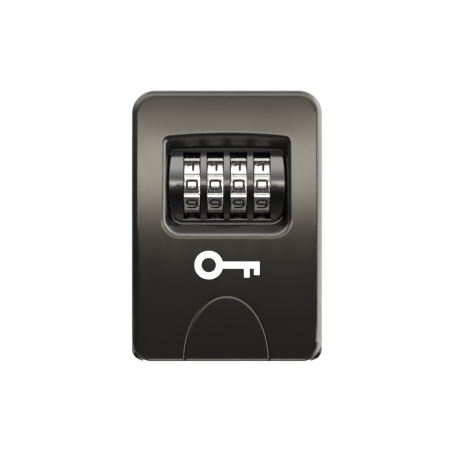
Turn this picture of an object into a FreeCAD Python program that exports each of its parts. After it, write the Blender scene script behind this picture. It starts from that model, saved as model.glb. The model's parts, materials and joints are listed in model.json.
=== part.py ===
import FreeCAD, Part
import math
import os
import re

import Sketcher

# Key lock box for a wall: a die-cast base and a door that drops down on two
# short pins at its foot.  Four number dials and a thumb plate work the latch.
# Millimetres.  The origin is the middle of the flat back face, +Z is up and the
# door looks along -Y, so the whole box lies at negative Y.

os.makedirs("parts", exist_ok=True)
Vector = FreeCAD.Vector
doc = FreeCAD.newDocument("key_lock_box")
sheet = doc.addObject("Spreadsheet::Sheet", "Sizes")

SIZES = {
    # the closed box
    "box_width": 84.0,
    "box_height": 120.0,
    "box_depth": 40.0,
    "base_depth": 19.8,
    "door_gap": 0.3,
    "head_corner": 10.3,
    "door_foot_corner": 9.0,
    "base_foot_corner": 6.0,
    "front_round": 3.2,
    "crown_radius": 900.0,
    "side_wall": 2.5,
    "back_wall": 3.0,
    "front_wall": 4.0,
    # screws into the building's wall
    "fixing_radius": 2.6,
    "fixing_side": 24.0,
    "fixing_head_z": 46.0,
    "fixing_foot_z": -40.0,
    # hinge at the foot
    "hinge_y": -31.0,
    "hinge_z": -56.0,
    "hinge_pin_radius": 1.5,
    "hinge_pin_inner": 31.0,
    "hinge_pin_outer": 40.2,
    "lug_radius": 4.4,
    "lug_inner": 37.2,
    "lug_clearance": 0.3,
    "lug_headroom": 7.0,
    "knuckle_inner": 30.5,
    "bush_radius": 2.6,
    "running_fit": 0.05,
    "foot_relief": 0.9,
    "foot_relief_rise": 2.0,
    # window that funnels in to the dials
    "window_half": 27.0,
    "window_head": 38.7,
    "window_rise": 1.7,
    "window_foot": -3.6,
    "window_foot_corner": 6.5,
    "window_head_corner": 1.2,
    "window_round": 2.6,
    "floor_y": -30.4,
    "floor_half": 24.8,
    "floor_head": 33.4,
    "floor_foot": 1.2,
    "floor_corner": 5.0,
    "boss_half": 31.0,
    "boss_head": 43.5,
    "boss_foot": -7.5,
    # barrel-shaped bezel behind the window
    "barrel_radius": 25.3,
    "barrel_y": -12.1,
    "barrel_z": 18.0,
    "floor_rise": 0.2,
    "bezel_clearance": 0.35,
    "bezel_plate": 1.4,
    "barrel_round": 0.4,
    "barrel_clearance": 0.6,
    "lip_front": -32.2,
    "lip_back": -31.3,
    "lip_width": 0.9,
    "hollow_half": 22.6,
    "hollow_radius": 20.4,
    "hollow_y": -15.4,
    "hollow_z": 17.6,
    "slot_width": 7.7,
    "slot_head": 32.7,
    "slot_foot": 3.2,
    "slot_round": 0.45,
    "bezel_screw_side": 28.0,
    "bezel_screw_head_z": 37.5,
    "bezel_screw_foot_z": -3.0,
    "bezel_screw_tip_y": -34.4,
    "ridge_half": 21.65,
    "ridge_radius": 0.75,
    "ridge_y": -37.2,
    # dials
    "dial_count": 4,
    "dial_y": -25.0,
    "dial_z": 18.0,
    "dial_radius": 14.1,
    "dial_width": 6.9,
    "dial_pitch": 10.3,
    "dial_chamfer": 0.3,
    "dial_groove_width": 1.8,
    "dial_groove_depth": 0.9,
    "digit_count": 10,
    "digit_width": 5.5,
    "digit_height": 5.0,
    "digit_stroke": 1.05,
    "digit_depth": 0.5,
    # code hubs, which the reset lever slides out of the dials' splines
    "drum_radius": 5.8,
    "spline_radius": 6.8,
    "spline_width": 1.6,
    "spline_length": 1.5,
    "spline_fit": 0.12,
    "spline_end_gap": 0.2,
    "gate_disc_radius": 10.0,
    "gate_disc_start": 3.75,
    "gate_disc_end": 4.75,
    "gate_half": 1.4,
    "gate_depth": 3.0,
    "hub_inset": 0.6,
    "shaft_radius": 1.5,
    "shaft_left": -27.0,
    "shaft_right": 25.5,
    "shaft_plate_half": 8.0,
    "clip_wall": 0.6,
    "clip_gap": 0.1,
    # reset lever behind the left shaft plate
    "lever_gap": 2.1,
    "lever_sheet": 1.5,
    "lever_half": 3.0,
    "lever_front": -27.1,
    "lever_slot_right": -23.2,
    "lever_slot_half": 3.4,
    "lever_pad_half": 5.0,
    "lever_pad_front": -8.9,
    "lever_pad_back": -6.5,
    # chassis behind the bezel
    "chassis_half": 38.0,
    "chassis_head": 46.0,
    "chassis_foot": -8.0,
    "chassis_web": 1.6,
    "chassis_wall": 1.5,
    "cover_y": -10.6,
    "cover_plate": 1.5,
    "left_plate_outer": -23.0,
    "left_plate_inner": -21.0,
    "right_plate_inner": 22.5,
    "right_plate_outer": 24.5,
    "ear_inner": 33.4,
    "ear_boss": 4.2,
    "passage_fit": 0.5,
    "plate_corner": 3.0,
    "screw_side": 35.7,
    "screw_head_z": 42.0,
    "screw_foot_z": -4.0,
    "screw_radius": 1.1,
    "screw_head_radius": 2.1,
    "screw_head_height": 1.2,
    "screw_tip_y": -34.0,
    "driver_half": 1.3,
    "driver_slot_half": 0.25,
    "driver_floor": 0.48,
    "post_wall": 1.0,
    # latch slide
    "slide_front": -26.0,
    "slide_back": -24.4,
    "slide_bar_inner": 27.6,
    "slide_bar_outer": 33.0,
    "slide_travel": 4.5,
    "finger_foot": 32.8,
    "finger_start": 4.05,
    "finger_end": 6.3,
    "crossbar_foot": 38.5,
    "crossbar_head": 42.6,
    "nose_half": 7.0,
    "nose_shelf": 51.0,
    "nose_tip": 55.5,
    "nose_back": -13.0,
    "slide_sheet": 1.6,
    "guide_radius": 1.35,
    "guide_fit": 0.15,
    "guide_head": 1.1,
    "guide_side": 30.3,
    "guide_head_z": 30.0,
    "guide_foot_z": 5.0,
    "yoke_head": -15.0,
    "yoke_foot": -20.0,
    "stem_half": 8.0,
    "stem_foot": -46.0,
    "stem_screw_head_z": -37.0,
    "stem_screw_foot_z": -43.0,
    "stem_screw_tip_y": -31.0,
    # thumb plate
    "arch_half": 18.9,
    "arch_height": 29.6,
    "arch_gap": 0.35,
    "arch_round": 0.4,
    "flange_half": 17.0,
    "flange_head": -28.4,
    "flange_foot": -50.0,
    "flange_front": -35.8,
    "flange_plate": 1.0,
    "core_half": 10.0,
    "core_front": -36.5,
    "core_foot": -47.0,
    "core_head": -35.5,
    # springs under the yoke
    "spring_side": 23.0,
    "spring_radius": 1.9,
    "spring_wire": 0.25,
    "spring_pitch": 1.9,
    "spring_seat": -40.0,
    "spring_seat_plate": 2.0,
    "spring_seat_half": 2.6,
    "spring_seat_back": -22.8,
    # keeper in the base
    "keeper_half": 10.0,
    "keeper_front": -19.3,
    "keeper_sheet": 1.6,
    "keeper_foot": 52.5,
    "keeper_back": -5.0,
    "keeper_foot_sheet": 1.12,
    "keeper_rivet_y": -8.6,
    "rivet_radius": 1.2,
    "rivet_head_radius": 1.9,
    "rivet_head": 0.68,
    "rivet_end": 0.8,
    # lower inside cover
    "tray_half": 37.0,
    "tray_head": -8.6,
    "tray_foot": -50.5,
    "tray_front": -22.6,
    "tray_plate": 1.2,
    "tray_screw_side": 33.5,
    "tray_screw_head_z": -30.0,
    "tray_screw_foot_z": -45.0,
    "tray_screw_tip_y": -28.6,
    # leaf springs under the dials
    "leaf_half": 2.0,
    "leaf_y": -17.0,
    "leaf_sheet": 0.4,
    "leaf_head": 6.1,
    "leaf_base_front": -22.0,
    "leaf_rivet_side": 10.3,
    "leaf_rivet_y": -19.6,
    "leaf_rivet_radius": 1.1,
    "leaf_rivet_head": 0.7,
    # key hook
    "hook_z": -16.0,
    "hook_reach": -14.5,
    "hook_rise": 5.0,
    "hook_wire": 1.25,
    "hook_plate_half": 9.0,
    "hook_plate_rise": 4.0,
    "hook_sheet": 1.0,
    "hook_rivet_side": 6.0,
    "hook_rivet_radius": 1.5,
    "hook_rivet_head": 0.7,
}

for row, (alias, number) in enumerate(SIZES.items(), start=1):
    sheet.set(f"A{row}", alias)
    sheet.set(f"B{row}", str(number))
    sheet.setAlias(f"B{row}", alias)
doc.recompute()

TURNS = {
    "x": FreeCAD.Rotation(Vector(0, 1, 0), 90),
    "y": FreeCAD.Rotation(Vector(1, 0, 0), -90),
    "z": FreeCAD.Rotation(),
}
# a reach that carries a tool clear of whatever it cuts
CLEAR = 1.0
nodes = []


def size(alias):
    """A driving dimension, read from the sheet."""
    return float(sheet.get(alias))


def formula(text):
    """Puts the sheet's name in front of every alias in a formula."""
    return re.sub(r"[a-z]\w*", lambda word: f"Sizes.{word[0]}" if word[0] in SIZES else word[0], text)


def put(item, at, turn=None):
    """Turns an object, and ties its place to three formulas."""
    item.Placement = FreeCAD.Placement(Vector(), turn or FreeCAD.Rotation())
    for axis, text in zip("xyz", at):
        item.setExpression(f"Placement.Base.{axis}", formula(text))


def block(name, x, y, z):
    """A box between low and high formulas on each axis."""
    item = doc.addObject("Part::Box", name)
    for side, (low, high) in zip(("Length", "Width", "Height"), (x, y, z)):
        item.setExpression(side, formula(f"({high}) - ({low})"))
    put(item, (x[0], y[0], z[0]))
    return item


def rod(name, axis, radius, span, centre):
    """A cylinder along an axis; centre gives the other two coordinates in order."""
    item = doc.addObject("Part::Cylinder", name)
    item.setExpression("Radius", formula(radius))
    item.setExpression("Height", formula(f"({span[1]}) - ({span[0]})"))
    at = list(centre)
    at.insert("xyz".index(axis), span[0])
    put(item, at, TURNS[axis])
    return item


def ball(name, radius, centre):
    """A sphere about a point."""
    item = doc.addObject("Part::Sphere", name)
    item.setExpression("Radius", formula(radius))
    put(item, centre)
    return item


def fuse(name, *parts):
    """One solid from several that meet."""
    item = doc.addObject("Part::MultiFuse", name)
    item.Shapes = list(parts)
    return item


def common(name, *parts):
    """What several solids share."""
    item = doc.addObject("Part::MultiCommon", name)
    item.Shapes = list(parts)
    return item


def cut(name, base, *tools):
    """A base with the tools taken away."""
    item = doc.addObject("Part::Cut", name)
    item.Base = base
    item.Tool = tools[0] if len(tools) == 1 else fuse(f"{name}_tools", *tools)
    return item


def group(name, *parts):
    """Separate solids that share one node."""
    item = doc.addObject("Part::Compound", name)
    item.Links = list(parts)
    return item


def pair(item):
    """A part and its mirror image across the middle of the box."""
    mirror = doc.addObject("Part::Mirroring", f"{item.Name}_mirror")
    mirror.Source = item
    mirror.Normal = Vector(1, 0, 0)
    return item, mirror


def edge_numbers(base, chosen):
    """The numbers of the edges that a test picks out."""
    doc.recompute()
    return [number for number, edge in enumerate(base.Shape.Edges, start=1) if chosen(edge)]


def rounded(name, base, radius, chosen):
    """Rounds the chosen edges of a base."""
    item = doc.addObject("Part::Fillet", name)
    item.Base = base
    item.Edges = [(number, radius, radius) for number in edge_numbers(base, chosen)]
    return item


def is_along(edge, direction):
    """True for a straight edge that runs along a direction."""
    return isinstance(edge.Curve, Part.Line) and abs(edge.Curve.Direction.dot(direction)) > 0.999


def node(label, item):
    """Marks an object as a finished sub-part under its own label."""
    item.Label = label
    nodes.append(item)
    return item


# ---------------------------------------------------------------- sketches

def origin_feature(body, role):
    """One of a body's own origin planes or axes."""
    return next(item for item in body.Origin.OriginFeatures if item.Role == role)


def closed_sketch(body, name, plane, corners):
    """A closed outline whose every corner is tied to two formulas."""
    sketch = body.newObject("Sketcher::SketchObject", name)
    sketch.AttachmentSupport = (origin_feature(body, plane), "")
    sketch.MapMode = "FlatFace"
    count = len(corners)
    turns = [math.tau * index / count for index in range(count)]
    spots = [Vector(10 + 5 * math.cos(turn), 10 + 5 * math.sin(turn), 0) for turn in turns]
    for index in range(count):
        sketch.addGeometry(Part.LineSegment(spots[index], spots[(index + 1) % count]))
    for index in range(count):
        sketch.addConstraint(Sketcher.Constraint("Coincident", index, 2, (index + 1) % count, 1))
    for index, corner in enumerate(corners):
        for kind, text, start in zip(("DistanceX", "DistanceY"), corner, (spots[index].x, spots[index].y)):
            number = sketch.addConstraint(Sketcher.Constraint(kind, -1, 1, index, 1, start))
            label = f"{kind}_{index}"
            sketch.renameConstraint(number, label)
            sketch.setExpression(f"Constraints.{label}", formula(text))
    return sketch


def turned_body(name, outline):
    """A body turned about X from an outline of (x, radius) formulas."""
    body = doc.addObject("PartDesign::Body", name)
    sketch = closed_sketch(body, f"{name}_outline", "XY_Plane", outline)
    turn = body.newObject("PartDesign::Revolution", f"{name}_turned")
    turn.Profile = sketch
    turn.ReferenceAxis = (sketch, ["H_Axis"])
    turn.Angle = 360
    body.Tip = turn
    doc.recompute()
    return body


def around_x(body, feature, occurrences):
    """Repeats a feature evenly about the body's X axis."""
    pattern = body.newObject("PartDesign::PolarPattern", f"{feature.Name}_pattern")
    pattern.Originals = [feature]
    pattern.Axis = (origin_feature(body, "X_Axis"), [""])
    pattern.Angle = 360
    pattern.setExpression("Occurrences", formula(occurrences))
    body.Tip = pattern
    doc.recompute()
    return pattern


def pocket(body, name, plane, corners):
    """Cuts an outline right through a body, both ways from its plane."""
    before = body.Shape.Volume
    feature = body.newObject("PartDesign::Pocket", name)
    feature.Profile = closed_sketch(body, f"{name}_outline", plane, corners)
    feature.Type = 1
    feature.Midplane = True
    body.Tip = feature
    doc.recompute()
    assert body.Shape.Volume < before, f"{name} cuts nothing"
    return feature


# ---------------------------------------------------------------- outer form

def slab(name, depth_span, foot_corner):
    """The box's front outline as a slab, with round corners at the head and the foot."""
    plain = block(f"{name}_plain", ("-box_width / 2", "box_width / 2"), depth_span,
                  ("-box_height / 2", "box_height / 2"))
    head = rounded(f"{name}_head", plain, size("head_corner"),
                   lambda edge: is_along(edge, Vector(0, 1, 0)) and edge.CenterOfMass.z > 0)
    return rounded(name, head, size(foot_corner),
                   lambda edge: is_along(edge, Vector(0, 1, 0)) and edge.CenterOfMass.z < 0)


def window_outline(half, foot, head, rise, foot_corner, head_corner, depth):
    """A window outline whose arched head runs smoothly into its small top corners."""
    arch_radius = (half ** 2 + rise ** 2) / (2 * rise)
    arch_centre = head + rise - arch_radius
    inset = half - head_corner
    corner_z = arch_centre + math.sqrt((arch_radius - head_corner) ** 2 - inset ** 2)
    lean = math.atan2(inset, corner_z - arch_centre)
    diagonal = math.sqrt(0.5)

    def at(x, z):
        return Vector(x, depth, z)

    def head_point(side, angle):
        return at(side * (inset + head_corner * math.sin(angle)), corner_z + head_corner * math.cos(angle))

    def foot_point(side, across, down):
        return at(side * (half - foot_corner * (1 - across)), foot + foot_corner * (1 - down))

    half_turn = (lean + math.pi / 2) / 2
    edges = [
        Part.LineSegment(foot_point(-1, 0, 1), foot_point(1, 0, 1)).toShape(),
        Part.Arc(foot_point(1, 0, 1), foot_point(1, diagonal, diagonal), foot_point(1, 1, 0)).toShape(),
        Part.LineSegment(foot_point(1, 1, 0), head_point(1, math.pi / 2)).toShape(),
        Part.Arc(head_point(1, math.pi / 2), head_point(1, half_turn), head_point(1, lean)).toShape(),
        Part.Arc(head_point(1, lean), at(0, head + rise), head_point(-1, lean)).toShape(),
        Part.Arc(head_point(-1, lean), head_point(-1, half_turn), head_point(-1, math.pi / 2)).toShape(),
        Part.LineSegment(head_point(-1, math.pi / 2), foot_point(-1, 1, 0)).toShape(),
        Part.Arc(foot_point(-1, 1, 0), foot_point(-1, diagonal, diagonal), foot_point(-1, 0, 1)).toShape(),
    ]
    return Part.Wire(edges)


def funnel(name, clearance):
    """The window's hollow, from in front of the face down to its floor, drawn in by a clearance."""
    mouth_y = -size("box_depth")
    floor_y = size("floor_y")
    stretch = (CLEAR + floor_y - mouth_y) / (floor_y - mouth_y)

    def beyond(mouth, floor):
        return floor + (mouth - floor) * stretch

    mouth = window_outline(
        beyond(size("window_half"), size("floor_half")) - clearance,
        beyond(size("window_foot"), size("floor_foot")) + clearance,
        beyond(size("window_head"), size("floor_head")) - clearance,
        beyond(size("window_rise"), size("floor_rise")), size("window_foot_corner"),
        size("window_head_corner"), mouth_y - CLEAR)
    floor = window_outline(size("floor_half") - clearance, size("floor_foot") + clearance,
                           size("floor_head") - clearance, size("floor_rise"), size("floor_corner"),
                           size("window_head_corner"), floor_y)
    item = doc.addObject("Part::Feature", name)
    item.Shape = Part.makeLoft([mouth, floor], True, True)
    return item


def arch(name, shrink):
    """A half-ellipse prism through the front wall, standing on the foot of the door."""
    curve = doc.addObject("Part::Ellipse", f"{name}_curve")
    curve.setExpression("MajorRadius", formula(f"arch_height - {shrink}"))
    curve.setExpression("MinorRadius", formula(f"arch_half - {shrink}"))
    put(curve, ("0", "-box_depth - 1", "-box_height / 2"),
        FreeCAD.Rotation(Vector(0, 0, 1), Vector(1, 0, 0), Vector(0, 1, 0), "XYZ"))
    prism = doc.addObject("Part::Extrusion", name)
    prism.Base = curve
    prism.DirMode = "Custom"
    prism.Dir = Vector(0, 1, 0)
    prism.setExpression("LengthFwd", formula("front_wall + 1"))
    prism.Solid = True
    return prism


def on_arch(edge):
    """True for the arch's long outline on the crowned front face."""
    box = edge.BoundBox
    inside = max(box.XMax, -box.XMin) < size("arch_half") + CLEAR
    tall = box.ZLength > size("arch_height") / 2
    return inside and tall and box.YMin < size("front_wall") / 2 - size("box_depth")


def on_front(edge):
    """True for an edge that reaches the front face."""
    return edge.BoundBox.YMin < 2 * CLEAR - size("box_depth")


def on_window(edge):
    """True for an edge of the window's mouth."""
    middle = edge.CenterOfMass
    inside = abs(middle.x) < size("boss_half") and size("boss_foot") < middle.z < size("boss_head")
    return inside and on_front(edge) and edge.BoundBox.YLength < size("front_round") / 2


door_slab = slab("door_slab", ("-box_depth", "-base_depth - door_gap"), "door_foot_corner")
crown = rod("door_crown", "x", "crown_radius", ("-box_width", "box_width"),
            ("crown_radius - box_depth", "0"))
door_crowned = common("door_crowned", door_slab, crown)
door_form = rounded("door_form", door_crowned, size("front_round"),
                    lambda edge: edge.BoundBox.YMax < size("floor_y"))

# ---------------------------------------------------------------- door shell

door_windowed = cut("door_windowed", door_form, funnel("window_funnel", 0.0))
door_rimmed = rounded("door_rimmed", door_windowed, size("window_round"), on_window)
door_arched = rounded("door_arched", cut("door_opened", door_rimmed, arch("arch_opening", "0")),
                      size("arch_round"), on_arch)

inner_width = ("side_wall - box_width / 2", "box_width / 2 - side_wall")
inner_height = ("side_wall - box_height / 2", "box_height / 2 - side_wall")
cavity_box = block("door_cavity_box", inner_width, ("front_wall - box_depth", "-base_depth"), inner_height)
door_cavity = rounded("door_cavity_form", cavity_box, size("head_corner") - size("side_wall"),
                      lambda edge: is_along(edge, Vector(0, 1, 0)))
window_boss = block("window_boss", ("-boss_half", "boss_half"), ("-box_depth", "floor_y"),
                    ("boss_foot", "boss_head"))
knuckle = block("hinge_knuckle", ("knuckle_inner", "lug_inner - lug_clearance"),
                ("-box_depth", "hinge_y + lug_radius"), ("-box_height / 2", "hinge_z + lug_radius"))
spring_seat = block("spring_seat", ("spring_side - spring_seat_half", "spring_side + spring_seat_half"),
                    ("-box_depth", "spring_seat_back"), ("spring_seat - spring_seat_plate", "spring_seat"))


def post(name, side, level, top):
    """A round screw post on the inside of the door."""
    return rod(name, "y", "screw_head_radius + post_wall", ("-box_depth", top), (side, level))


web_front = "floor_y + bezel_plate"
posts = [
    post("chassis_post_head", "screw_side", "screw_head_z", web_front),
    post("chassis_post_foot", "screw_side", "screw_foot_z", web_front),
    post("tray_post_head", "tray_screw_side", "tray_screw_head_z", "tray_front"),
    post("tray_post_foot", "tray_screw_side", "tray_screw_foot_z", "tray_front"),
]
kept = [half for item in [knuckle, spring_seat] + posts for half in pair(item)]
hollow = cut("door_hollow", door_cavity, window_boss, *kept)


def screw_holes(kind, side, span, radius):
    """Holes along Y for four screws: one at the head, one at the foot, and their mirror images."""
    holes = []
    for end in ("head", "foot"):
        holes += pair(rod(f"{kind}_{end}", "y", radius, span, (f"{side}_side", f"{side}_{end}_z")))
    return holes


lug_space = block("lug_space", ("lug_inner - lug_clearance", "box_width"), ("front_wall - box_depth", "0"),
                  ("-box_height", "hinge_z + lug_headroom"))
foot_relief = block("foot_relief", ("-box_width", "box_width"),
                    ("-base_depth - door_gap - foot_relief", "0"),
                    ("-box_height", "hinge_z + foot_relief_rise"))
bush_bore = rod("bush_bore", "x", "bush_radius", ("knuckle_inner", "lug_inner"), ("hinge_y", "hinge_z"))
node("door_shell", cut(
    "door_finished", door_arched, hollow, foot_relief, *pair(lug_space), *pair(bush_bore),
    *screw_holes("door_screw_hole", "screw", ("screw_tip_y", "0"), "screw_radius"),
    *screw_holes("door_tray_hole", "tray_screw", ("tray_screw_tip_y", "0"), "screw_radius"),
    *screw_holes("door_bezel_hole", "bezel_screw", ("bezel_screw_tip_y", "0"), "screw_radius")))

# ---------------------------------------------------------------- bezel

def lip_dish():
    """The shallow dish that leaves the bezel's lip sloping in towards the barrel."""
    outlines = []
    for depth, inset in ((size("lip_front") - CLEAR, -CLEAR), (size("lip_back"), size("lip_width"))):
        outlines.append(window_outline(size("floor_half") - inset, size("floor_foot") + inset,
                                       size("floor_head") - inset, size("floor_rise"), size("floor_corner"),
                                       size("window_head_corner"), depth))
    item = doc.addObject("Part::Feature", "lip_dish")
    item.Shape = Part.makeLoft(outlines, True, True)
    return item


def slot_foot_edge(edge):
    """True for the lower front edge of a dial slot."""
    drop = size("slot_foot") - size("barrel_z")
    front = size("barrel_y") - math.sqrt(size("barrel_radius") ** 2 - drop ** 2)
    away = edge.CenterOfMass - Vector(edge.CenterOfMass.x, front, size("slot_foot"))
    return is_along(edge, Vector(1, 0, 0)) and away.Length < 0.1 and edge.Length < size("dial_pitch")


def barrel_outline(edge):
    """True for the curved outline where the barrel meets the window's sides and head."""
    box = edge.BoundBox
    return box.YMax < size("floor_y") - size("barrel_round") and box.YLength > 0.1


bezel_funnel = funnel("bezel_funnel", size("bezel_clearance"))
barrel_rod = rod("barrel_rod", "x", "barrel_radius", ("-boss_half", "boss_half"), ("barrel_y", "barrel_z"))
barrel_sharp = common("barrel_sharp", barrel_rod, funnel("barrel_funnel", size("barrel_clearance")))
barrel = rounded("barrel", barrel_sharp, size("barrel_round"), barrel_outline)
boss_width = ("-boss_half", "boss_half")
boss_levels = ("boss_foot", "boss_head")
lip_block = block("lip_block", boss_width, ("lip_front", "floor_y"), boss_levels)
lip = cut("bezel_lip", common("lip_plate", bezel_funnel, lip_block), lip_dish())
flange = block("bezel_flange", boss_width, ("floor_y", web_front), boss_levels)
ridge_rod = rod("ridge_rod", "x", "ridge_radius", ("-ridge_half", "ridge_half"), ("ridge_y", "dial_z"))
ridge_ends = pair(ball("ridge_end", "ridge_radius", ("ridge_half", "ridge_y", "dial_z")))
barrel_hollow = rod("barrel_hollow", "x", "hollow_radius", ("-hollow_half", "hollow_half"),
                    ("hollow_y", "hollow_z"))
dial_places = [f"{index - 1.5} * dial_pitch" for index in range(int(size("dial_count")))]
slots = [block(f"dial_slot_{index}", (f"{place} - slot_width / 2", f"{place} + slot_width / 2"),
               ("-box_depth", "0"), ("slot_foot", "slot_head"))
         for index, place in enumerate(dial_places, start=1)]
bezel_solid = fuse("bezel_solid", barrel, lip, flange, ridge_rod, *ridge_ends)
bezel_slotted = cut("bezel_slotted", bezel_solid, barrel_hollow, *slots,
                    *screw_holes("bezel_hole", "bezel_screw", ("-box_depth", "0"), "screw_radius"))
node("dial_bezel", rounded("bezel_finished", bezel_slotted, size("slot_round"), slot_foot_edge))

# ---------------------------------------------------------------- screws


def screw(name, place, head_front, tip):
    """A cross-slotted screw along Y, with its head behind head_front and its tip forward."""
    side, level = place
    shank = rod(f"{name}_shank", "y", "screw_radius", (tip, head_front), place)
    head = rod(f"{name}_head", "y", "screw_head_radius",
               (head_front, f"{head_front} + screw_head_height"), place)
    slots_cut = []
    for way, half_width, half_height in (("across", "driver_half", "driver_slot_half"),
                                         ("up", "driver_slot_half", "driver_half")):
        slots_cut.append(block(f"{name}_{way}", (f"{side} - {half_width}", f"{side} + {half_width}"),
                               (f"{head_front} + driver_floor", "0"),
                               (f"{level} - {half_height}", f"{level} + {half_height}")))
    return cut(name, fuse(f"{name}_blank", shank, head), *slots_cut)


def four_screws(label, side, head_front, tip):
    """A head screw, a foot screw and their mirror images in one node."""
    items = []
    for end in ("head", "foot"):
        items += pair(screw(f"{label}_{end}", (f"{side}_side", f"{side}_{end}_z"), head_front, tip))
    return node(label, group(f"{label}_group", *items))


# ---------------------------------------------------------------- chassis

web_back = f"{web_front} + chassis_web"
frame_span = (web_front, "cover_y")
chassis_span = ("-chassis_half", "chassis_half")
chassis_levels = ("chassis_foot", "chassis_head")
web = block("chassis_web_plate", chassis_span, (web_front, web_back), chassis_levels)
ears = pair(block("chassis_ear", ("ear_inner", "chassis_half"), frame_span, chassis_levels))
scoops = pair(block("chassis_scoop", ("ear_inner + chassis_wall", "chassis_half"), (web_back, "0"),
                    ("screw_foot_z + ear_boss", "screw_head_z - ear_boss")))
head_wall = block("chassis_head_wall", chassis_span, frame_span,
                  ("chassis_head - chassis_wall", "chassis_head"))
foot_wall = block("chassis_foot_wall", chassis_span, frame_span,
                  ("chassis_foot", "chassis_foot + chassis_wall"))
plate_levels = ("dial_z - shaft_plate_half", "dial_z + shaft_plate_half")
left_plate = block("left_shaft_plate", ("left_plate_outer", "left_plate_inner"), frame_span, plate_levels)
right_plate = block("right_shaft_plate", ("right_plate_inner", "right_plate_outer"), frame_span, plate_levels)
chassis_window = block("chassis_window", ("left_plate_inner", "right_plate_inner"), ("-box_depth", web_back),
                       ("slot_foot - passage_fit", "slot_head + passage_fit"))
shaft_hole = rod("chassis_shaft_hole", "x", "shaft_radius + running_fit", chassis_span, ("dial_y", "dial_z"))
nose_passage = block("nose_passage", ("-nose_half - passage_fit", "nose_half + passage_fit"), (web_back, "0"),
                     ("chassis_head - chassis_wall - 1", "chassis_head + 1"))
bar_passages = pair(block("bar_passage", ("slide_bar_inner - passage_fit", "ear_inner"),
                          (web_back, "slide_back + 1"),
                          ("chassis_foot - 1", "chassis_foot + chassis_wall + 1")))
chassis_solid = fuse("chassis_solid", web, cut("chassis_ears", fuse("chassis_ear_pair", *ears), *scoops),
                     head_wall, foot_wall, left_plate, right_plate)
node("lock_chassis", cut(
    "chassis_finished", chassis_solid, chassis_window, shaft_hole, nose_passage, *bar_passages,
    *screw_holes("chassis_screw_hole", "screw", ("-box_depth", "0"), "screw_radius + running_fit"),
    *screw_holes("chassis_bezel_hole", "bezel_screw", ("-box_depth", "0"),
                 "screw_head_radius + passage_fit"),
    *screw_holes("chassis_guide_hole", "guide", ("-box_depth", "0"), "guide_radius")))


def flat_plate(name, half, front, thickness, levels):
    """A flat sheet with round corners, across the box behind front."""
    sheet_box = block(f"{name}_box", (f"-{half}", half), (front, f"{front} + {thickness}"), levels)
    return rounded(name, sheet_box, size("plate_corner"), lambda edge: is_along(edge, Vector(0, 1, 0)))


lever_slot = block("lever_slot", ("shaft_left - passage_fit", "lever_slot_right"), ("cover_y", "0"),
                   ("dial_z - lever_slot_half", "dial_z + lever_slot_half"))
node("mechanism_cover", cut(
    "cover_finished",
    flat_plate("cover_sheet", "chassis_half", "cover_y", "cover_plate", ("chassis_foot", "chassis_head")),
    lever_slot, *screw_holes("cover_hole", "screw", ("cover_y", "0"), "screw_radius + running_fit")))
four_screws("cover_screws", "screw", "cover_y + cover_plate", "screw_tip_y")
four_screws("bezel_screws", "bezel_screw", web_front, "bezel_screw_tip_y")

# ---------------------------------------------------------------- dials

DIGIT_PATHS = {
    # strokes on a grid that runs from -1 to 1 both ways
    0: [[(-0.6, 1), (0.6, 1), (0.9, 0.9), (1, 0.6), (1, -0.6), (0.9, -0.9), (0.6, -1),
         (-0.6, -1), (-0.9, -0.9), (-1, -0.6), (-1, 0.6), (-0.9, 0.9), (-0.6, 1)]],
    1: [[(-0.75, 0.3), (0.25, 1), (0.25, -1)]],
    2: [[(-1, 0.6), (-0.6, 1), (0.6, 1), (1, 0.6), (1, 0.3), (-1, -1), (1, -1)]],
    3: [[(-0.9, 1), (0.6, 1), (1, 0.6), (0.6, 0.05), (1, -0.5), (0.6, -1), (-0.9, -1)],
        [(0.6, 0.05), (-0.3, 0.05)]],
    4: [[(0.5, -1), (0.5, 1), (-1, -0.35), (1, -0.35)]],
    5: [[(0.9, 1), (-0.9, 1), (-0.9, 0.15), (0.6, 0.15), (1, -0.2), (1, -0.65), (0.6, -1), (-0.9, -1)]],
    6: [[(0.8, 1), (-0.5, 1), (-1, 0.5), (-1, -0.6), (-0.6, -1), (0.6, -1), (1, -0.6), (1, -0.2),
         (0.6, 0.1), (-1, 0.1)]],
    7: [[(-1, 1), (1, 1), (-0.2, -1)]],
    8: [[(-0.6, 1), (0.6, 1), (0.95, 0.55), (0.6, 0.05), (1, -0.5), (0.6, -1), (-0.6, -1), (-1, -0.5),
         (-0.6, 0.05), (-0.95, 0.55), (-0.6, 1)], [(-0.6, 0.05), (0.6, 0.05)]],
    9: [[(-0.8, -1), (0.5, -1), (1, -0.5), (1, 0.6), (0.6, 1), (-0.6, 1), (-1, 0.6), (-1, 0.2),
         (-0.6, -0.1), (1, -0.1)]],
}


def stroke(start, end, width, low, high):
    """A round-ended bar between two points of the X-Z plane, from low to high along Y."""
    run = end - start
    bar = Part.makeBox(run.Length, high - low, width, Vector(0, 0, -width / 2))
    bar.rotate(Vector(), Vector(0, 1, 0), -math.degrees(math.atan2(run.z, run.x)))
    bar.translate(Vector(start.x, low, start.z))
    cap = Part.makeCylinder(width / 2, high - low, Vector(end.x, low, end.z), Vector(0, 1, 0))
    tail = Part.makeCylinder(width / 2, high - low, Vector(start.x, low, start.z), Vector(0, 1, 0))
    return [bar, cap, tail]


DIGIT_STEP = 360 / size("digit_count")


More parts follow.
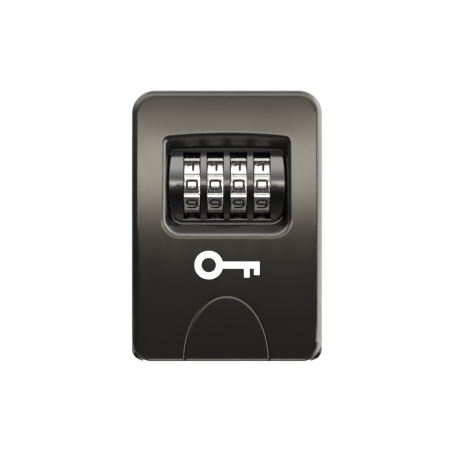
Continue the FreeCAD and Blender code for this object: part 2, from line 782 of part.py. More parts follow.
def engraving():
    """All ten digits as solids around the X axis; 0 looks forward and 1 stands above it."""
    half_width = (size("digit_width") - size("digit_stroke")) / 2
    half_height = (size("digit_height") - size("digit_stroke")) / 2
    low = -size("dial_radius") - CLEAR
    high = -size("dial_radius") + size("digit_depth")
    digits = []
    for digit, paths in DIGIT_PATHS.items():
        bars = []
        for path in paths:
            points = [Vector(across * half_width, 0, up * half_height) for across, up in path]
            for start, end in zip(points, points[1:]):
                bars += stroke(start, end, size("digit_stroke"), low, high)
        shape = bars[0].fuse(bars[1:]).removeSplitter()
        shape.rotate(Vector(), Vector(1, 0, 0), -digit * DIGIT_STEP)
        digits.append(shape)
    return Part.makeCompound(digits)


digit_tool = doc.addObject("Part::Feature", "digit_tool")
digit_tool.Shape = engraving()

bore = "(drum_radius + running_fit)"
wheel = turned_body("dial_wheel", [
    ("-dial_width / 2", bore), ("dial_width / 2", bore), ("dial_width / 2", "dial_radius - dial_chamfer"),
    ("dial_width / 2 - dial_chamfer", "dial_radius"), ("dial_chamfer - dial_width / 2", "dial_radius"),
    ("-dial_width / 2", "dial_radius - dial_chamfer")])
# the groove straight below the axis; the pattern carries it to the places between the digits
groove = pocket(wheel, "dial_groove", "YZ_Plane", [
    ("0", "dial_groove_depth - dial_radius"), ("dial_groove_width", "-dial_groove_depth - dial_radius"),
    ("-dial_groove_width", "-dial_groove_depth - dial_radius")])
around_x(wheel, groove, "digit_count")


def spline_ring(name, tooth):
    """A tooth repeated once for every digit round the X axis."""
    doc.recompute()
    copies = []
    for index in range(int(size("digit_count"))):
        copy = tooth.Shape.copy()
        copy.rotate(Vector(), Vector(1, 0, 0), index * DIGIT_STEP)
        copies.append(copy)
    ring = doc.addObject("Part::Feature", name)
    ring.Shape = Part.makeCompound(copies)
    return ring


# the notches open only at the dial's right face, and overlap each other at the axis
notch = block("spline_notch", ("dial_width / 2 - spline_length - spline_end_gap", "dial_width"),
              ("-spline_width / 2 - spline_fit", "spline_width / 2 + spline_fit"),
              ("drum_radius - 1", "spline_radius + spline_fit"))
notch_ring = spline_ring("spline_notches", notch)
dial_master = cut("dial_master", wheel, notch_ring, digit_tool)

# ---------------------------------------------------------------- code hubs

hub_bore = "(shaft_radius + running_fit)"
hub = turned_body("hub_body", [
    ("hub_inset - dial_width / 2", hub_bore), ("gate_disc_end", hub_bore),
    ("gate_disc_end", "gate_disc_radius"), ("gate_disc_start", "gate_disc_radius"),
    ("gate_disc_start", "drum_radius"), ("hub_inset - dial_width / 2", "drum_radius")])
tooth = block("hub_tooth", ("dial_width / 2 - spline_length", "dial_width / 2"),
              ("-spline_width / 2", "spline_width / 2"), ("drum_radius - 1", "spline_radius"))
teeth = spline_ring("hub_teeth", tooth)
gate = block("hub_gate", ("gate_disc_start - 1", "gate_disc_end + 1"), ("-gate_half", "gate_half"),
             ("gate_disc_radius - gate_depth", "gate_disc_radius + 1"))
hub_master = cut("hub_master", fuse("hub_toothed", hub, teeth), gate)

for index, place in enumerate(dial_places, start=1):
    dial = node(f"dial_{index}", group(f"dial_{index}_wheel", dial_master))
    put(dial, (place, "dial_y", "dial_z"))
    code_hub = node(f"code_hub_{index}", group(f"code_hub_{index}_part", hub_master))
    put(code_hub, (place, "dial_y", "dial_z"))

# ---------------------------------------------------------------- shaft and reset lever

dial_axis = ("dial_y", "dial_z")
node("dial_shaft", rod("shaft_rod", "x", "shaft_radius", ("shaft_left", "shaft_right"), dial_axis))
lever_right = "left_plate_outer - lever_gap"
lever_left = "left_plate_outer - lever_gap - lever_sheet"
lever_plate = block("lever_plate", (lever_left, lever_right), ("lever_front", "lever_pad_back - 1"),
                    ("dial_z - lever_half", "dial_z + lever_half"))
lever_pad = block("lever_pad", (lever_left, f"{lever_right} + lever_gap / 3"),
                  ("lever_pad_front", "lever_pad_back"),
                  ("dial_z - lever_pad_half", "dial_z + lever_pad_half"))
lever_bore = rod("lever_bore", "x", "shaft_radius", ("-box_width", "0"), dial_axis)
node("reset_lever", cut("lever_finished", fuse("lever_solid", lever_plate, lever_pad), lever_bore))
clip_ring = rod("clip_ring", "x", "shaft_radius + clip_wall",
                ("right_plate_outer + clip_gap", "right_plate_outer + clip_gap + clip_wall"), dial_axis)
clip_bore = rod("clip_bore", "x", "shaft_radius", ("0", "box_width"), dial_axis)
clip_mouth = block("clip_mouth", ("0", "box_width"), ("dial_y - 1", "dial_y + 1"), ("0", "dial_z"))
node("shaft_clip", cut("clip_finished", clip_ring, clip_bore, clip_mouth))

# ---------------------------------------------------------------- latch slide

sheet_span = ("slide_front", "slide_back")
full_width = ("-slide_bar_outer", "slide_bar_outer")
neck_width = ("-nose_half", "nose_half")
bars = pair(block("slide_bar", ("slide_bar_inner", "slide_bar_outer"), sheet_span,
                  ("yoke_foot", "crossbar_head")))
crossbar = block("slide_crossbar", full_width, sheet_span, ("crossbar_foot", "crossbar_head"))
fingers = [block(f"slide_finger_{index}", (f"{place} + finger_start", f"{place} + finger_end"), sheet_span,
                 ("finger_foot", "crossbar_head"))
           for index, place in enumerate(dial_places, start=1)]
neck = block("slide_neck", neck_width, sheet_span, ("crossbar_foot", "nose_shelf"))
shelf = block("slide_shelf", neck_width, ("slide_front", "nose_back"),
              ("nose_shelf - slide_sheet", "nose_shelf"))
nose = block("slide_nose", neck_width, ("nose_back - slide_sheet", "nose_back"),
             ("nose_shelf - slide_sheet", "nose_tip"))
yoke = block("slide_yoke", full_width, sheet_span, ("yoke_foot", "yoke_head"))
tail = block("slide_tail", ("-stem_half", "stem_half"), sheet_span, ("stem_foot", "yoke_head"))


def guide_slots(end):
    """A round-ended slot for a guide screw, and its mirror image."""
    low = f"guide_{end}_z"
    high = f"guide_{end}_z + slide_travel"
    reach = "(guide_radius + guide_fit)"
    through = ("-box_depth", "0")
    items = [
        rod(f"guide_slot_{end}_low", "y", reach, through, ("guide_side", low)),
        rod(f"guide_slot_{end}_high", "y", reach, through, ("guide_side", high)),
        block(f"guide_slot_{end}", (f"guide_side - {reach}", f"guide_side + {reach}"), through, (low, high)),
    ]
    return [half for item in items for half in pair(item)]


def stem_holes(name, span):
    """Two holes in the stem's middle line for the release screws."""
    return [rod(f"{name}_{end}", "y", "screw_radius", span, ("0", f"stem_screw_{end}_z"))
            for end in ("head", "foot")]


slide_solid = fuse("slide_solid", *bars, crossbar, *fingers, neck, shelf, nose, yoke, tail)
node("latch_slide", cut("slide_finished", slide_solid, *guide_slots("head"), *guide_slots("foot"),
                        *stem_holes("slide_hole", ("-box_depth", "0"))))


def guide_screw(end):
    """A shoulder screw that holds the slide to the chassis."""
    place = ("guide_side", f"guide_{end}_z")
    shoulder = rod(f"guide_{end}_shoulder", "y", "guide_radius", (web_front, "slide_back + guide_fit"), place)
    head = rod(f"guide_{end}_head", "y", "guide_radius + guide_head",
               ("slide_back + guide_fit", "slide_back + guide_fit + screw_head_height"), place)
    return fuse(f"guide_screw_{end}", shoulder, head)


node("guide_screws", group("guide_screw_group", *pair(guide_screw("head")), *pair(guide_screw("foot"))))

# ---------------------------------------------------------------- thumb plate

arch_plate = rounded("arch_plate", common("arch_blank", arch("arch_prism", "arch_gap"), door_form),
                     size("arch_round"), on_arch)
plate_flange = block("plate_flange", ("-flange_half", "flange_half"),
                     ("flange_front", "flange_front + flange_plate"), ("flange_foot", "flange_head"))
plate_core = block("plate_core", ("-core_half", "core_half"), ("core_front", "slide_front"),
                   ("core_foot", "core_head"))
node("release_plate", cut("plate_finished", fuse("plate_solid", arch_plate, plate_flange, plate_core),
                          *stem_holes("plate_hole", ("stem_screw_tip_y", "0"))))
node("release_screws", group("release_screw_group", *[
    screw(f"release_screw_{end}", ("0", f"stem_screw_{end}_z"), "slide_back", "stem_screw_tip_y")
    for end in ("head", "foot")]))


def coil(name, side, foot, head):
    """A compression coil that stands upright."""
    helix = doc.addObject("Part::Helix", f"{name}_helix")
    helix.setExpression("Pitch", formula("spring_pitch"))
    helix.setExpression("Radius", formula("spring_radius"))
    helix.setExpression("Height", formula(f"({head}) - ({foot}) - 2 * spring_wire"))
    ring = doc.addObject("Part::Circle", f"{name}_ring")
    ring.setExpression("Radius", formula("spring_wire"))
    put(ring, ("spring_radius", "0", "0"), TURNS["y"])
    sweep = doc.addObject("Part::Sweep", name)
    sweep.Sections = [ring]
    sweep.Spine = (helix, [])
    sweep.Solid = True
    sweep.Frenet = True
    put(sweep, (side, "(slide_front + slide_back) / 2", f"{foot} + spring_wire"))
    return sweep


node("return_springs", group(
    "spring_group", coil("left_spring", "-spring_side", "spring_seat", "yoke_foot"),
    coil("right_spring", "spring_side", "spring_seat", "yoke_foot")))

# ---------------------------------------------------------------- inside cover and detent leaves

node("inner_tray", cut(
    "tray_finished",
    flat_plate("tray_sheet", "tray_half", "tray_front", "tray_plate", ("tray_foot", "tray_head")),
    *screw_holes("tray_hole", "tray_screw", ("-box_depth", "0"), "screw_radius + running_fit")))
four_screws("tray_screws", "tray_screw", "tray_front + tray_plate", "tray_screw_tip_y")

leaf_foot = "chassis_foot + chassis_wall"
leaf_span = ("leaf_y", "leaf_y + leaf_sheet")
leaves = [block(f"detent_leaf_{index}", (f"{place} - leaf_half", f"{place} + leaf_half"), leaf_span,
                (leaf_foot, "leaf_head"))
          for index, place in enumerate(dial_places, start=1)]
leaf_base = block("detent_base", ("left_plate_inner", "right_plate_inner"),
                  ("leaf_base_front", "leaf_y + leaf_sheet"), (leaf_foot, f"{leaf_foot} + leaf_sheet"))
node("detent_leaves", fuse("detent_solid", leaf_base, *leaves))
leaf_rivet = rod("detent_rivet", "z", "leaf_rivet_radius",
                 (f"{leaf_foot} + leaf_sheet", f"{leaf_foot} + leaf_sheet + leaf_rivet_head"),
                 ("leaf_rivet_side", "leaf_rivet_y"))
node("detent_rivets", group("detent_rivet_group", *pair(leaf_rivet)))

# ---------------------------------------------------------------- base

base_slab = slab("base_slab", ("hinge_y - lug_radius", "0"), "base_foot_corner")
base_block = block("base_block", ("-box_width / 2", "box_width / 2"), ("-base_depth", "0"),
                   ("-box_height / 2", "box_height / 2"))
lug_arm = block("lug_arm", ("lug_inner", "box_width / 2"), ("hinge_y", "-base_depth"),
                ("-box_height / 2", "hinge_z + lug_radius"))
lug_nose = rod("lug_nose", "x", "lug_radius", ("lug_inner", "box_width / 2"), ("hinge_y", "hinge_z"))
base_body = common("base_body", fuse("base_rough", base_block, *pair(lug_arm), *pair(lug_nose)), base_slab)
base_cavity_box = block("base_cavity_box", inner_width, ("-base_depth", "-back_wall"), inner_height)
base_cavity = rounded("base_cavity", base_cavity_box, size("base_foot_corner") - size("side_wall"),
                      lambda edge: is_along(edge, Vector(0, 1, 0)))
head_underside = "box_height / 2 - side_wall"
hinge_line = ("hinge_y", "hinge_z")
rivet_line = ("nose_half", "keeper_rivet_y")
pin_holes = pair(rod("pin_hole", "x", "hinge_pin_radius", ("lug_inner", "hinge_pin_outer"), hinge_line))
rivet_tip = "box_height / 2 - rivet_end"
rivet_holes = pair(rod("rivet_hole", "z", "rivet_radius", (head_underside, rivet_tip), rivet_line))
node("housing_base", cut(
    "base_finished", base_body, base_cavity, *pin_holes, *rivet_holes,
    *screw_holes("fixing_hole", "fixing", ("-back_wall", "0"), "fixing_radius")))
hinge_pin = rod("hinge_pin", "x", "hinge_pin_radius", ("hinge_pin_inner", "hinge_pin_outer"), hinge_line)
node("hinge_pins", group("hinge_pin_group", *pair(hinge_pin)))
bush_outer = rod("bush_outer", "x", "bush_radius", ("hinge_pin_inner", "lug_inner - lug_clearance"),
                 hinge_line)
bush_inner = rod("bush_inner", "x", "hinge_pin_radius + running_fit", ("0", "box_width"), hinge_line)
node("hinge_bushes", group("hinge_bush_group", *pair(cut("hinge_bush", bush_outer, bush_inner))))

# ---------------------------------------------------------------- keeper and key hook

keeper_width = ("-keeper_half", "keeper_half")
rivet_seat = f"{head_underside} - keeper_foot_sheet"
keeper_lip = block("keeper_lip", keeper_width, ("keeper_front", "keeper_front + keeper_sheet"),
                   ("keeper_foot", head_underside))
keeper_foot_plate = block("keeper_foot_plate", keeper_width, ("keeper_front", "keeper_back"),
                          (rivet_seat, head_underside))
keeper_holes = pair(rod("keeper_hole", "z", "rivet_radius", ("0", "box_height"), rivet_line))
keeper_solid = fuse("keeper_solid", keeper_lip, keeper_foot_plate)
node("latch_keeper", cut("keeper_finished", keeper_solid, *keeper_holes))
rivet_shank = rod("rivet_shank", "z", "rivet_radius", (rivet_seat, rivet_tip), rivet_line)
rivet_head = rod("rivet_head_disc", "z", "rivet_head_radius", (f"{rivet_seat} - rivet_head", rivet_seat),
                 rivet_line)
node("keeper_rivets", group("keeper_rivet_group", *pair(fuse("keeper_rivet", rivet_shank, rivet_head))))

plate_face = "-back_wall - hook_sheet"
hook_plate = block("hook_plate", ("-hook_plate_half", "hook_plate_half"), (plate_face, "-back_wall"),
                   ("hook_z - hook_plate_rise", "hook_z + hook_plate_rise"))
hook_arm = rod("hook_arm", "y", "hook_wire", ("hook_reach", plate_face), ("0", "hook_z"))
hook_bend = ball("hook_bend", "hook_wire", ("0", "hook_reach", "hook_z"))
hook_tip = rod("hook_tip", "z", "hook_wire", ("hook_z", "hook_z + hook_rise"), ("0", "hook_reach"))
hook_end = ball("hook_end", "hook_wire", ("0", "hook_reach", "hook_z + hook_rise"))
node("key_hook", fuse("hook_solid", hook_plate, hook_arm, hook_bend, hook_tip, hook_end))
hook_rivet = rod("hook_rivet", "y", "hook_rivet_radius", (f"{plate_face} - hook_rivet_head", plate_face),
                 ("hook_rivet_side", "hook_z"))
node("hook_rivets", group("hook_rivet_group", *pair(hook_rivet)))

# ---------------------------------------------------------------- checks and files

doc.recompute()
for item in doc.Objects:
    if "Invalid" in item.State or "Error" in item.State:
        raise RuntimeError(f"{item.Name} did not build: {item.State}")
for item in nodes:
    shape = item.Shape
    if shape.isNull() or not shape.isValid() or not shape.Solids:
        raise RuntimeError(f"{item.Label} is not a valid solid")
    print(item.Label, "solids", len(shape.Solids), "volume", round(shape.Volume, 1))
for item in nodes:
    item.Shape.exportStep(f"parts/{item.Label}.step")
print(len(nodes), "nodes")
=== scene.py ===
import json
import math

import bmesh
import bpy
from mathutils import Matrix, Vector


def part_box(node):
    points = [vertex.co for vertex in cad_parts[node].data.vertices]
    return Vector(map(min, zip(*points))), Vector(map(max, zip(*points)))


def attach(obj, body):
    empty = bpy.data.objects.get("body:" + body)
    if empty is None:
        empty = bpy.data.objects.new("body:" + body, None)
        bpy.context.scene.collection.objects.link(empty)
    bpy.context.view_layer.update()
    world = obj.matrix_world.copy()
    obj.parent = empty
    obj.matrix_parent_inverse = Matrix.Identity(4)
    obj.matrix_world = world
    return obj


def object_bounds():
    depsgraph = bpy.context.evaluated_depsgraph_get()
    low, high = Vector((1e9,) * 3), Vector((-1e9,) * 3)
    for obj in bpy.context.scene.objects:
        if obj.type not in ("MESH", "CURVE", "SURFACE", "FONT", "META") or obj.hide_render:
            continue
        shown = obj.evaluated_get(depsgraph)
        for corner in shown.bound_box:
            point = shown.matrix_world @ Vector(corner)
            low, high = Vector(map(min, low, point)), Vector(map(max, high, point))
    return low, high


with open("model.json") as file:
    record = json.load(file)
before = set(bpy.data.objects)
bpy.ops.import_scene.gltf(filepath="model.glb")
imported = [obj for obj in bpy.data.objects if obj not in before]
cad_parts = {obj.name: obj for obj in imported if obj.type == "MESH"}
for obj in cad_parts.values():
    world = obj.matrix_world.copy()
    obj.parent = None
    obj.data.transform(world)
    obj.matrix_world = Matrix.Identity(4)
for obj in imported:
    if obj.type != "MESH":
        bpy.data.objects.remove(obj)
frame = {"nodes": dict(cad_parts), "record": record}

# The look of a wall key safe: satin gunmetal lacquer, plated number wheels and
# a white printed key on the door.  Metres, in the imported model's own frame.

cad_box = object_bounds()
MM = 0.001

box_low, box_high = (Vector(corner) for corner in cad_box)
box_centre = (box_low + box_high) / 2
nodes = frame["nodes"]
slots = {row["node"]: row["material_slot"] for row in frame["record"]["subparts"]}

# ---------------------------------------------------------------- node helpers

NOISE_RANGE = (0.3, 0.7)     # the part of a noise signal that is used; it is clamped beyond
BEVEL_SAMPLES = 8
WIDE_EDGE = 4                # the wide strip beside an edge, in radii of the edge's rounding

# Sockets of a Mix node that is set to vectors.
VECTOR_A = 4
VECTOR_B = 5
VECTOR_RESULT = 1


def shader(name):
    """A new material, with its node tree and its Principled shader."""
    material = bpy.data.materials.new(name)
    material.use_nodes = True
    tree = material.node_tree
    return material, tree, tree.nodes["Principled BSDF"]


def noise(tree, scale, detail, stretch=(1, 1, 1)):
    """Noise over the piece's own space; a stretch under 1 draws it out along that axis."""
    place = tree.nodes.new("ShaderNodeTexCoord")
    mapping = tree.nodes.new("ShaderNodeMapping")
    mapping.inputs["Scale"].default_value = stretch
    texture = tree.nodes.new("ShaderNodeTexNoise")
    texture.inputs["Scale"].default_value = scale
    texture.inputs["Detail"].default_value = detail
    tree.links.new(place.outputs["Object"], mapping.inputs["Vector"])
    tree.links.new(mapping.outputs["Vector"], texture.inputs["Vector"])
    return texture.outputs["Fac"]


def mapped(tree, source, taken, given):
    """Carries a signal from one range of values to another, and clamps it there."""
    ramp = tree.nodes.new("ShaderNodeMapRange")
    for socket, value in zip(("From Min", "From Max", "To Min", "To Max"), (*taken, *given)):
        ramp.inputs[socket].default_value = value
    tree.links.new(source, ramp.inputs["Value"])
    return ramp.outputs["Result"]


def added(tree, first, second):
    """The sum of two signals."""
    total = tree.nodes.new("ShaderNodeMath")
    total.operation = "ADD"
    tree.links.new(first, total.inputs[0])
    tree.links.new(second, total.inputs[1])
    return total.outputs["Value"]


def tint(tree, source, dark, light):
    """Blends two colours by a noise signal."""
    ramp = tree.nodes.new("ShaderNodeValToRGB")
    for stop, position, colour in zip(ramp.color_ramp.elements, NOISE_RANGE, (dark, light)):
        stop.position = position
        stop.color = (*colour, 1)
    tree.links.new(source, ramp.inputs["Fac"])
    return ramp.outputs["Color"]


def rounded(tree, radius):
    """The surface's normal, as if each edge were rounded off."""
    bevel = tree.nodes.new("ShaderNodeBevel")
    bevel.samples = BEVEL_SAMPLES
    bevel.inputs["Radius"].default_value = radius
    return bevel.outputs["Normal"]


def eased(tree, radius, lean):
    """A small rounding at each edge, and beside it a wide strip that leans over slightly."""
    blend = tree.nodes.new("ShaderNodeMix")
    blend.data_type = "VECTOR"
    blend.inputs["Factor"].default_value = lean
    tree.links.new(rounded(tree, radius), blend.inputs[VECTOR_A])
    tree.links.new(rounded(tree, WIDE_EDGE * radius), blend.inputs[VECTOR_B])
    unit = tree.nodes.new("ShaderNodeVectorMath")
    unit.operation = "NORMALIZE"
    tree.links.new(blend.outputs[VECTOR_RESULT], unit.inputs[0])
    return unit.outputs["Vector"]


def relief(tree, shade, source, height, soften, lean):
    """Raises the surface by a noise signal, over edges rounded by a small radius."""
    bump = tree.nodes.new("ShaderNodeBump")
    bump.inputs["Strength"].default_value = 1.0
    bump.inputs["Distance"].default_value = height
    tree.links.new(source, bump.inputs["Height"])
    if soften:
        normal = eased(tree, soften, lean) if lean else rounded(tree, soften)
        tree.links.new(normal, bump.inputs["Normal"])
    tree.links.new(bump.outputs["Normal"], shade.inputs["Normal"])


def scaled(colour, factor):
    """A colour made darker or lighter."""
    return tuple(min(1.0, channel * factor) for channel in colour)


def around(value, margin):
    """A range on both sides of a value."""
    return (value - margin, value + margin)


# ---------------------------------------------------------------- materials


def surface(name, colour, shades, clouds, grain, roughness, height,
            soften=0.0, lean=0.0, metallic=0.0):
    """A finish whose clouds vary its colour, and whose grain varies its roughness and its height.

    shades are the factors on the colour at its darkest and lightest, roughness is a range, and
    clouds and grain are what noise takes.
    """
    material, tree, shade = shader(name)
    dark, light = (scaled(colour, factor) for factor in shades)
    grained = noise(tree, **grain)
    tree.links.new(tint(tree, noise(tree, **clouds), dark, light), shade.inputs["Base Color"])
    tree.links.new(mapped(tree, grained, NOISE_RANGE, roughness), shade.inputs["Roughness"])
    relief(tree, shade, grained, height, soften, lean)
    shade.inputs["Metallic"].default_value = metallic
    return material


def lacquer(name, colour, roughness, soften=0.55 * MM, metallic=0.94):
    """Satin lacquer over a die casting, finely brushed up and down."""
    return surface(name, colour, shades=(0.96, 1.04),
                   clouds=dict(scale=45, detail=2),
                   grain=dict(scale=1400, detail=3, stretch=(1, 1, 0.03)),
                   roughness=around(roughness, 0.012), height=0.001 * MM,
                   soften=soften, lean=0.2, metallic=metallic)


def plated(name, colour, roughness, stretch, soften=0.08 * MM):
    """Plated or bare metal with a fine grain, which the stretch can draw out."""
    return surface(name, colour, shades=(0.92, 1.06),
                   clouds=dict(scale=120, detail=2),
                   grain=dict(scale=2200, detail=3, stretch=stretch),
                   roughness=around(roughness, 0.06), height=0.003 * MM,
                   soften=soften, metallic=1.0)


def casting(name, colour):
    """Bare zinc casting, matt and slightly grainy."""
    return surface(name, colour, shades=(0.85, 1.1),
                   clouds=dict(scale=90, detail=3),
                   grain=dict(scale=1500, detail=4),
                   roughness=(0.42, 0.58), height=0.02 * MM,
                   soften=0.2 * MM, metallic=0.9)


def moulding(name, colour):
    """Black moulded plastic with a fine spark-eroded texture."""
    return surface(name, colour, shades=(0.85, 1.2),
                   clouds=dict(scale=60, detail=2),
                   grain=dict(scale=3200, detail=3),
                   roughness=(0.5, 0.62), height=0.015 * MM,
                   soften=0.2 * MM)


def paint_fill(name, colour, roughness):
    """Enamel and printing ink, slightly uneven; also the flat black of the painted shade on the
    bezel's lip.
    """
    uneven = dict(scale=900, detail=2)
    return surface(name, colour, shades=(0.93, 1.05), clouds=uneven, grain=uneven,
                   roughness=around(roughness, 0.05), height=0.004 * MM)


finishes = {
    "gunmetal_paint": lacquer("gunmetal_lacquer", (0.1, 0.095, 0.083), 0.17),
    "bezel_paint": lacquer("bezel_lacquer", (0.17, 0.168, 0.162), 0.19, soften=0, metallic=1.0),
    "zinc_casting": casting("zinc_casting", (0.42, 0.42, 0.41)),
    "black_plastic": moulding("black_moulding", (0.018, 0.018, 0.019)),
    "zinc_plated_steel": plated("zinc_plate", (0.58, 0.58, 0.56), 0.34, (1, 1, 0.05)),
    "spring_steel": plated("spring_wire", (0.42, 0.42, 0.42), 0.3, (0.2, 0.2, 1), soften=0),
    "fastener_steel": plated("fastener_plate", (0.52, 0.52, 0.5), 0.36, (1, 1, 1)),
    "dial_chrome": plated("dial_plate", (0.84, 0.83, 0.8), 0.23, (1, 0.06, 0.06)),
    "hub_brass": plated("turned_brass", (0.72, 0.55, 0.26), 0.3, (1, 0.08, 0.08)),
}
numeral_ink = paint_fill("numeral_enamel", (0.005, 0.005, 0.005), 0.5)
print_ink = paint_fill("printing_ink", (0.9, 0.9, 0.88), 0.5)
# Painted shade: a flat black for the bezel's lip over the dials, where shade falls.
lip_shade_paint = paint_fill("lip_painted_shade", (0.012, 0.012, 0.012), 0.6)
# Painted shade: a darker lacquer for the window's wall over the dials.
ceiling_shade_paint = lacquer("recess_painted_shade", (0.065, 0.062, 0.057), 0.35)
# Painted light: a lighter lacquer for the window's wall below the dials.
sill_light_paint = lacquer("sill_painted_light", (0.19, 0.185, 0.17), 0.42)

for name, item in nodes.items():
    item.data.materials.clear()
    item.data.materials.append(finishes[slots[name]])


def repaint(item, paint, chosen):
    """Gives a further finish to the faces of a piece that pass a test."""
    item.data.materials.append(paint)
    for face in item.data.polygons:
        if chosen(face):
            face.material_index = len(item.data.materials) - 1


# ---------------------------------------------------------------- inside the window

# The lip over the dials and the wall above them get painted shade, and the wall below them painted
# light.
# These finishes stand in for shade and light that the modelled shape and lamps don't give, and are
# fitted to the front view.

LIP_HEAD = 32 * MM              # the bezel's faces above this get the painted shade
WINDOW_HALF = 31 * MM           # the door's repainted faces are this near to the middle,
WINDOW_BACK = -30 * MM          # in front of this plane,
WINDOW_HEAD = 28 * MM           # above this, over the dials,
WINDOW_SILL = (-10 * MM, 0)     # or between these heights, below the dials,
WALL_SLOPE = 0.4                # and their normals point up or down by more than this


def in_window(place, low, high):
    """Whether a point is inside the window and between two heights."""
    return abs(place.x) < WINDOW_HALF and place.y < WINDOW_BACK and low < place.z < high


def on_lip_head(face):
    """Whether a face of the bezel is on its lip over the dials."""
    return face.center.z > LIP_HEAD


def on_window_ceiling(face):
    """Whether a face of the door is on the wall over the dials."""
    return in_window(face.center, WINDOW_HEAD, box_high.z) and face.normal.z < -WALL_SLOPE


def on_window_sill(face):
    """Whether a face of the door is on the wall below the dials."""
    return in_window(face.center, *WINDOW_SILL) and face.normal.z > WALL_SLOPE


# Painted shade on the lip and on the window's wall over the dials, and painted light on the wall below
# them.
repaint(nodes["dial_bezel"], lip_shade_paint, on_lip_head)
repaint(nodes["door_shell"], ceiling_shade_paint, on_window_ceiling)
repaint(nodes["door_shell"], sill_light_paint, on_window_sill)

# ---------------------------------------------------------------- numerals on the dials

DIAL_COUNT = 4
DIGIT_STEP = math.tau / 10
DIGIT_DEPTH = 0.5 * MM
DIGIT_HALF_HEIGHT = 2.7 * MM
DIGIT_HALF_WIDTH = 2.9 * MM
FLOOR_MARGIN = 0.05 * MM        # how far from its nominal depth a numeral's floor may lie
WALL_LEAN = 0.35                # how far a wall's normal may point outwards or inwards


def fill_numerals(item):
    """Gives the floors and walls of the engraved numerals the black enamel."""
    low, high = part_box(item.name)
    axis = (low + high) / 2
    floor = (high.y - low.y) / 2 - DIGIT_DEPTH

    def in_numeral(face):
        """Whether a face is a numeral's floor or wall."""
        arm = face.center - axis
        turn = math.atan2(arm.z, -arm.y)
        lean = turn - DIGIT_STEP * round(turn / DIGIT_STEP)
        reach = math.hypot(arm.y, arm.z)
        depth = reach * math.cos(lean)
        across = reach * math.sin(lean)
        outward = Vector((0, arm.y, arm.z)).normalized()
        on_floor = abs(depth - floor) < FLOOR_MARGIN
        on_wall = abs(face.normal.dot(outward)) < WALL_LEAN and depth > floor
        on_tile = abs(across) < DIGIT_HALF_HEIGHT and abs(arm.x) < DIGIT_HALF_WIDTH
        return on_tile and (on_floor or on_wall)

    repaint(item, numeral_ink, in_numeral)


for number in range(1, DIAL_COUNT + 1):
    fill_numerals(nodes[f"dial_{number}"])

# ---------------------------------------------------------------- key printed on the door

CROWN_RADIUS = 900 * MM
MARK_LEVEL = -17.2 * MM
INK_HEIGHT = 0.05 * MM
BOW_CENTRE = -8.0 * MM
BOW_RADIUS = 6.2 * MM
BOW_HOLE = 3.3 * MM
SHAFT_HALF = 1.45 * MM
KEY_TIP = 14.3 * MM
KEY_BITS = [
    # left edge and width of each tooth along the shaft, and how far down it reaches
    (7.6 * MM, 2.3 * MM, 5.4 * MM),
    (12.0 * MM, 2.3 * MM, 4.3 * MM),
]
BOW_STEPS = 48
RANK_BASE = 1000            # more than the mark has corners


def bow_arc(radius, start):
    """Points round the bow, from an angle above the shaft to the same angle below it."""
    sweep = math.tau - 2 * start
    angles = [start + sweep * step / BOW_STEPS for step in range(BOW_STEPS + 1)]
    return [(BOW_CENTRE + radius * math.cos(angle), radius * math.sin(angle)) for angle in angles]


def key_loops():
    """The key's outline and the hole in its bow, as (across, up) points."""
    outline = bow_arc(BOW_RADIUS, math.asin(SHAFT_HALF / BOW_RADIUS))
    for left, width, drop in KEY_BITS:
        right = left + width
        outline += [(left, -SHAFT_HALF), (left, -drop), (right, -drop), (right, -SHAFT_HALF)]
    outline[-1] = (KEY_TIP, SHAFT_HALF)
    return [outline, bow_arc(BOW_HOLE, 0.0)[:-1]]


def on_face(across, up):
    """A point of the mark laid on the crowned front of the door."""
    level = MARK_LEVEL + up
    fall = CROWN_RADIUS - math.sqrt(CROWN_RADIUS ** 2 - level ** 2)
    return Vector((across, box_low.y + fall, level))


def corner_rank(face):
    """A number for a face's corners, so that sorted faces have the same order in each run."""
    rank = 1
    for corner in face.verts:
        rank = rank * RANK_BASE + corner.index
    return rank


def print_key():
    """The printed key as one thin raised mesh."""
    form = bmesh.new()
    for loop in key_loops():
        corners = [form.verts.new(on_face(*point)) for point in loop]
        for start, end in zip(corners, corners[1:] + corners[:1]):
            form.edges.new((start, end))
    bmesh.ops.triangle_fill(form, edges=form.edges[:], use_beauty=True)
    raised = bmesh.ops.extrude_face_region(form, geom=form.faces[:])
    front = [part for part in raised["geom"] if isinstance(part, bmesh.types.BMVert)]
    bmesh.ops.translate(form, verts=front, vec=(0, -INK_HEIGHT, 0))
    bmesh.ops.recalc_face_normals(form, faces=form.faces[:])
    form.verts.index_update()
    form.faces.sort(key=corner_rank)
    mesh = bpy.data.meshes.new("printed_key")
    form.to_mesh(mesh)
    form.free()
    mesh.materials.append(print_ink)
    item = bpy.data.objects.new("printed_key", mesh)
    bpy.context.scene.collection.objects.link(item)
    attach(item, "door")


print_key()

# ---------------------------------------------------------------- camera and light

scene = bpy.context.scene
scene.view_settings.view_transform = "Standard"

CAMERA_DISTANCE = 1.1
CAMERA_SHIFT = -0.4 * MM        # to the side
VIEW_WIDTH = 0.1989             # what the picture spans at the front of the box
SENSOR_WIDTH = 36               # in millimetres, as the lens is


def place_camera():
    """A long lens in front of the box, looking straight at it."""
    data = bpy.data.cameras.new("camera")
    data.sensor_width = SENSOR_WIDTH
    data.lens = SENSOR_WIDTH * CAMERA_DISTANCE / VIEW_WIDTH
    camera = bpy.data.objects.new("camera", data)
    camera.location = (CAMERA_SHIFT, box_low.y - CAMERA_DISTANCE, box_centre.z)
    camera.rotation_euler = (math.radians(90), 0, 0)
    scene.collection.objects.link(camera)
    scene.camera = camera


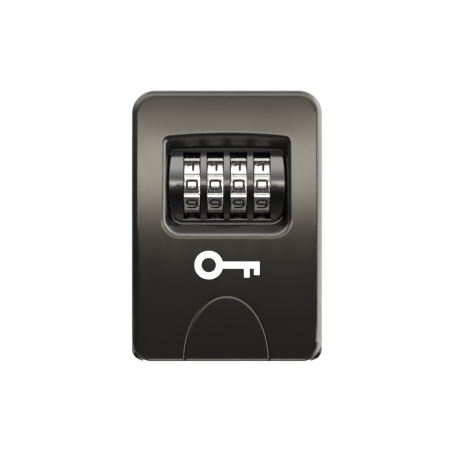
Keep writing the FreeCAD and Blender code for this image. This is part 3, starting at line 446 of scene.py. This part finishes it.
def softbox(name, place, aim, width, height, watts, colour):
    """A rectangular light that faces a point and that the camera doesn't see."""
    data = bpy.data.lights.new(name, "AREA")
    data.shape = "RECTANGLE"
    data.size = width
    data.size_y = height
    data.energy = watts
    data.color = colour
    lamp = bpy.data.objects.new(name, data)
    lamp.location = place
    lamp.rotation_euler = (Vector(aim) - Vector(place)).to_track_quat("-Z", "Y").to_euler()
    lamp.visible_camera = False
    scene.collection.objects.link(lamp)


SKY = [
    # height of the direction, from straight down to straight up, and the light that comes from it
    (-1.0, 2.4),
    (-0.975, 1.4),
    (-0.955, 0.12),
    (-0.4, 0.02),
    (0.02, 0.02),
    (0.2, 0.3),
    (0.35, 0.6),
    (0.6, 2.0),
    (0.85, 2.0),
    (1.0, 0.8),
]
SKY_PEAK = 2.5                          # more than any light in the list
FROM_RIGHT = ((0.5, 0.9), (0, 4.0))     # how far a direction points right, and the added light
FROM_BEHIND = ((0.2, 0.9), (0, 0.8))    # the same for how far it points behind the box
CAMERA_WHITE = 1.05


def build_studio():
    """White to the camera; to the object, light from below, above, the right and behind."""
    world = bpy.data.worlds.new("studio")
    world.use_nodes = True
    scene.world = world
    tree = world.node_tree
    background = tree.nodes["Background"]
    background.inputs["Color"].default_value = (1, 1, 1, 1)
    place = tree.nodes.new("ShaderNodeTexCoord")
    parts = tree.nodes.new("ShaderNodeSeparateXYZ")
    tree.links.new(place.outputs["Generated"], parts.inputs["Vector"])
    height = mapped(tree, parts.outputs["Z"], (-1, 1), (0, 1))
    sky = tree.nodes.new("ShaderNodeValToRGB")
    stops = sky.color_ramp.elements
    while len(stops) < len(SKY):
        stops.new(1.0)
    for stop, (level, light) in zip(stops, SKY):
        grey = light / SKY_PEAK
        stop.position = (level + 1) / 2
        stop.color = (grey, grey, grey, 1)
    tree.links.new(height, sky.inputs["Fac"])
    from_sky = mapped(tree, sky.outputs["Color"], (0, 1), (0, SKY_PEAK))
    from_right = mapped(tree, parts.outputs["X"], *FROM_RIGHT)
    from_behind = mapped(tree, parts.outputs["Y"], *FROM_BEHIND)
    glow = added(tree, from_sky, added(tree, from_right, from_behind))
    ray = tree.nodes.new("ShaderNodeLightPath")
    choice = tree.nodes.new("ShaderNodeMix")
    choice.inputs["B"].default_value = CAMERA_WHITE
    tree.links.new(ray.outputs["Is Camera Ray"], choice.inputs["Factor"])
    tree.links.new(glow, choice.inputs["A"])
    tree.links.new(choice.outputs["Result"], background.inputs["Strength"])


place_camera()
softbox("front_softbox", place=(0, -1.34, 0.135), aim=(0, 0, 0.03),
        width=1.2, height=0.16, watts=2.6, colour=(1, 0.975, 0.92))
build_studio()

# ---------------------------------------------------------------- floor

FLOOR_DROP = 160 * MM           # below the box, so that the open door stays clear of it
FLOOR_SIZE = 3
FLOOR_GLOW = 0.75


def lay_floor():
    """A pale, glowing floor, which the object doesn't mirror."""
    mesh = bpy.data.meshes.new("floor")
    form = bmesh.new()
    bmesh.ops.create_grid(form, x_segments=1, y_segments=1, size=FLOOR_SIZE)
    form.to_mesh(mesh)
    form.free()
    paint, tree, shade = shader("floor_paint")
    clouds = noise(tree, scale=3, detail=2)
    tree.links.new(tint(tree, clouds, (0.86, 0.86, 0.86), (0.9, 0.9, 0.9)), shade.inputs["Base Color"])
    shade.inputs["Roughness"].default_value = 0.8
    shade.inputs["Emission Color"].default_value = (1, 1, 1, 1)
    shade.inputs["Emission Strength"].default_value = FLOOR_GLOW
    mesh.materials.append(paint)
    floor = bpy.data.objects.new("floor", mesh)
    floor.location = (0, 0, box_low.z - FLOOR_DROP)
    floor.visible_glossy = False
    scene.collection.objects.link(floor)


lay_floor()
